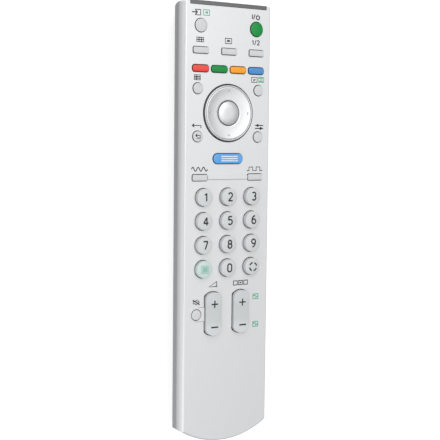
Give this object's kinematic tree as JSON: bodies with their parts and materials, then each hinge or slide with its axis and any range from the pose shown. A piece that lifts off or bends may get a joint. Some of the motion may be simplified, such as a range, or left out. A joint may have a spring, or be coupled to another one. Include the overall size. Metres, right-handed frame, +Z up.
{
  "type": "universal remote control",
  "caption": "Handheld universal remote control: slim two-shell case with a tilting navigation ring, rockers, push keys, a dark emitter window and a sliding battery cover.",
  "frame": {"origin": "under the middle of the case, on the plane it rests on, lying on its back", "axes": "X across the face, Y along the length towards the emitter end, Z up out of the key face"},
  "size_m": [0.05, 0.222, 0.0268],
  "materials": {
    "silver_shell": "pale silver painted ABS, fine satin",
    "grey_shell": "mid grey moulded ABS, fine texture",
    "smoke_window": "smoked polycarbonate, polished",
    "zinc_steel": "zinc plated steel",
    "board_laminate": "phenolic paper laminate",
    "silicone": "moulded silicone rubber, matte",
    "diode_resin": "clear blue-black epoxy",
    "chip_resin": "black epoxy",
    "resonator_ceramic": "dipped ceramic, orange",
    "capacitor_can": "aluminium can in a dark sleeve",
    "cell_can": null,
    "contact_plate": "nickel plated spring steel",
    "ring_silver": "silver painted ABS, satin metallic",
    "key_grey": "light grey ABS, satin",
    "key_pale": "pale grey ABS, satin",
    "key_mint": "mint tinted ABS, satin",
    "key_green": "green ABS, glossy",
    "key_red": "red ABS, glossy",
    "key_amber": "amber ABS, glossy",
    "key_blue": "blue ABS, glossy"
  },
  "bodies": {
    "case": {"top_cover": "silver_shell", "bottom_cover": "grey_shell", "ir_window": "smoke_window", "case_screws": "zinc_steel", "circuit_board": "board_laminate", "rubber_keypad": "silicone", "ir_led": "diode_resin", "control_chip": "chip_resin", "ceramic_resonator": "resonator_ceramic", "capacitor": "capacitor_can", "battery_1": "cell_can", "battery_2": "cell_can", "positive_contact": "contact_plate", "negative_contact": "contact_plate", "link_contact": "contact_plate", "battery_springs": "contact_plate"},
    "battery_cover": {"battery_cover": "grey_shell"},
    "nav_cushion": {"nav_cushion": "silicone"},
    "nav_ring": {"nav_ring": "ring_silver"},
    "ok_key": {"ok_key": "ring_silver"},
    "input_key": {"input_key": "key_grey"},
    "power_key": {"power_key": "key_green"},
    "guide_key": {"guide_key": "key_grey"},
    "info_key": {"info_key": "key_grey"},
    "return_key": {"return_key": "key_grey"},
    "tools_key": {"tools_key": "key_grey"},
    "mute_key": {"mute_key": "key_grey"},
    "key_1": {"key_1": "key_pale"},
    "key_2": {"key_2": "key_pale"},
    "key_3": {"key_3": "key_pale"},
    "key_4": {"key_4": "key_pale"},
    "key_5": {"key_5": "key_pale"},
    "key_6": {"key_6": "key_pale"},
    "key_7": {"key_7": "key_pale"},
    "key_8": {"key_8": "key_pale"},
    "key_9": {"key_9": "key_pale"},
    "teletext_key": {"teletext_key": "key_mint"},
    "key_0": {"key_0": "key_pale"},
    "recall_key": {"recall_key": "key_pale"},
    "mode_key_left": {"mode_key_left": "key_grey"},
    "mode_key_middle": {"mode_key_middle": "key_grey"},
    "mode_key_right": {"mode_key_right": "key_grey"},
    "red_key": {"red_key": "key_red"},
    "green_key": {"green_key": "key_green"},
    "yellow_key": {"yellow_key": "key_amber"},
    "blue_key": {"blue_key": "key_blue"},
    "menu_key": {"menu_key": "key_blue"},
    "analog_key": {"analog_key": "key_grey"},
    "digital_key": {"digital_key": "key_grey"},
    "volume_rocker": {"volume_rocker": "key_pale"},
    "program_rocker": {"program_rocker": "key_pale"}
  },
  "joints": [
    {"name": "input_key_press", "type": "slide", "parent": "case", "child": "input_key", "axis": [0, 0, -1], "range_m": [0, 0.0009], "stiffness_N_per_m": 30, "springref_m": -0.0005},
    {"name": "power_key_press", "type": "slide", "parent": "case", "child": "power_key", "axis": [0, 0, -1], "range_m": [0, 0.0009], "stiffness_N_per_m": 30, "springref_m": -0.0005},
    {"name": "guide_key_press", "type": "slide", "parent": "case", "child": "guide_key", "axis": [0, 0, -1], "range_m": [0, 0.0009], "stiffness_N_per_m": 30, "springref_m": -0.0005},
    {"name": "info_key_press", "type": "slide", "parent": "case", "child": "info_key", "axis": [0, 0, -1], "range_m": [0, 0.0009], "stiffness_N_per_m": 30, "springref_m": -0.0005},
    {"name": "return_key_press", "type": "slide", "parent": "case", "child": "return_key", "axis": [0, 0, -1], "range_m": [0, 0.0009], "stiffness_N_per_m": 30, "springref_m": -0.0005},
    {"name": "tools_key_press", "type": "slide", "parent": "case", "child": "tools_key", "axis": [0, 0, -1], "range_m": [0, 0.0009], "stiffness_N_per_m": 30, "springref_m": -0.0005},
    {"name": "mute_key_press", "type": "slide", "parent": "case", "child": "mute_key", "axis": [0, 0, -1], "range_m": [0, 0.0009], "stiffness_N_per_m": 30, "springref_m": -0.0005},
    {"name": "key_1_press", "type": "slide", "parent": "case", "child": "key_1", "axis": [0, 0, -1], "range_m": [0, 0.0009], "stiffness_N_per_m": 30, "springref_m": -0.0005},
    {"name": "key_2_press", "type": "slide", "parent": "case", "child": "key_2", "axis": [0, 0, -1], "range_m": [0, 0.0009], "stiffness_N_per_m": 30, "springref_m": -0.0005},
    {"name": "key_3_press", "type": "slide", "parent": "case", "child": "key_3", "axis": [0, 0, -1], "range_m": [0, 0.0009], "stiffness_N_per_m": 30, "springref_m": -0.0005},
    {"name": "key_4_press", "type": "slide", "parent": "case", "child": "key_4", "axis": [0, 0, -1], "range_m": [0, 0.0009], "stiffness_N_per_m": 30, "springref_m": -0.0005},
    {"name": "key_5_press", "type": "slide", "parent": "case", "child": "key_5", "axis": [0, 0, -1], "range_m": [0, 0.0009], "stiffness_N_per_m": 30, "springref_m": -0.0005},
    {"name": "key_6_press", "type": "slide", "parent": "case", "child": "key_6", "axis": [0, 0, -1], "range_m": [0, 0.0009], "stiffness_N_per_m": 30, "springref_m": -0.0005},
    {"name": "key_7_press", "type": "slide", "parent": "case", "child": "key_7", "axis": [0, 0, -1], "range_m": [0, 0.0009], "stiffness_N_per_m": 30, "springref_m": -0.0005},
    {"name": "key_8_press", "type": "slide", "parent": "case", "child": "key_8", "axis": [0, 0, -1], "range_m": [0, 0.0009], "stiffness_N_per_m": 30, "springref_m": -0.0005},
    {"name": "key_9_press", "type": "slide", "parent": "case", "child": "key_9", "axis": [0, 0, -1], "range_m": [0, 0.0009], "stiffness_N_per_m": 30, "springref_m": -0.0005},
    {"name": "teletext_key_press", "type": "slide", "parent": "case", "child": "teletext_key", "axis": [0, 0, -1], "range_m": [0, 0.0009], "stiffness_N_per_m": 30, "springref_m": -0.0005},
    {"name": "key_0_press", "type": "slide", "parent": "case", "child": "key_0", "axis": [0, 0, -1], "range_m": [0, 0.0009], "stiffness_N_per_m": 30, "springref_m": -0.0005},
    {"name": "recall_key_press", "type": "slide", "parent": "case", "child": "recall_key", "axis": [0, 0, -1], "range_m": [0, 0.0009], "stiffness_N_per_m": 30, "springref_m": -0.0005},
    {"name": "mode_key_left_press", "type": "slide", "parent": "case", "child": "mode_key_left", "axis": [0, 0, -1], "range_m": [0, 0.0009], "stiffness_N_per_m": 30, "springref_m": -0.0005},
    {"name": "mode_key_middle_press", "type": "slide", "parent": "case", "child": "mode_key_middle", "axis": [0, 0, -1], "range_m": [0, 0.0009], "stiffness_N_per_m": 30, "springref_m": -0.0005},
    {"name": "mode_key_right_press", "type": "slide", "parent": "case", "child": "mode_key_right", "axis": [0, 0, -1], "range_m": [0, 0.0009], "stiffness_N_per_m": 30, "springref_m": -0.0005},
    {"name": "red_key_press", "type": "slide", "parent": "case", "child": "red_key", "axis": [0, 0, -1], "range_m": [0, 0.0009], "stiffness_N_per_m": 30, "springref_m": -0.0005},
    {"name": "green_key_press", "type": "slide", "parent": "case", "child": "green_key", "axis": [0, 0, -1], "range_m": [0, 0.0009], "stiffness_N_per_m": 30, "springref_m": -0.0005},
    {"name": "yellow_key_press", "type": "slide", "parent": "case", "child": "yellow_key", "axis": [0, 0, -1], "range_m": [0, 0.0009], "stiffness_N_per_m": 30, "springref_m": -0.0005},
    {"name": "blue_key_press", "type": "slide", "parent": "case", "child": "blue_key", "axis": [0, 0, -1], "range_m": [0, 0.0009], "stiffness_N_per_m": 30, "springref_m": -0.0005},
    {"name": "menu_key_press", "type": "slide", "parent": "case", "child": "menu_key", "axis": [0, 0, -1], "range_m": [0, 0.0009], "stiffness_N_per_m": 30, "springref_m": -0.0005},
    {"name": "analog_key_press", "type": "slide", "parent": "case", "child": "analog_key", "axis": [0, 0, -1], "range_m": [0, 0.0009], "stiffness_N_per_m": 30, "springref_m": -0.0005},
    {"name": "digital_key_press", "type": "slide", "parent": "case", "child": "digital_key", "axis": [0, 0, -1], "range_m": [0, 0.0009], "stiffness_N_per_m": 30, "springref_m": -0.0005},
    {"name": "ok_key_press", "type": "slide", "parent": "case", "child": "ok_key", "axis": [0, 0, -1], "range_m": [0, 0.0009], "stiffness_N_per_m": 30, "springref_m": -0.0005},
    {"name": "volume_rocker_tilt", "type": "hinge", "parent": "case", "child": "volume_rocker", "pos_m": [-0.0082, -0.0445, 0.0208], "axis": [1, 0, 0], "range_deg": [-3.5, 3.5], "stiffness_Nm_per_rad": 0.01},
    {"name": "program_rocker_tilt", "type": "hinge", "parent": "case", "child": "program_rocker", "pos_m": [0.0082, -0.0445, 0.0208], "axis": [1, 0, 0], "range_deg": [-3.5, 3.5], "stiffness_Nm_per_rad": 0.01},
    {"name": "nav_cushion_side_tilt", "type": "hinge", "parent": "case", "child": "nav_cushion", "pos_m": [0, 0.0563, 0.0205], "axis": [0, 1, 0], "range_deg": [-2.5, 2.5], "stiffness_Nm_per_rad": 0.01},
    {"name": "nav_ring_up_down_tilt", "type": "hinge", "parent": "nav_cushion", "child": "nav_ring", "pos_m": [0, 0.0563, 0.0205], "axis": [1, 0, 0], "range_deg": [-2.5, 2.5], "stiffness_Nm_per_rad": 0.01},
    {"name": "battery_cover_slide", "type": "slide", "parent": "case", "child": "battery_cover", "axis": [0, -1, 0], "range_m": [0, 0.075]}
  ]
}
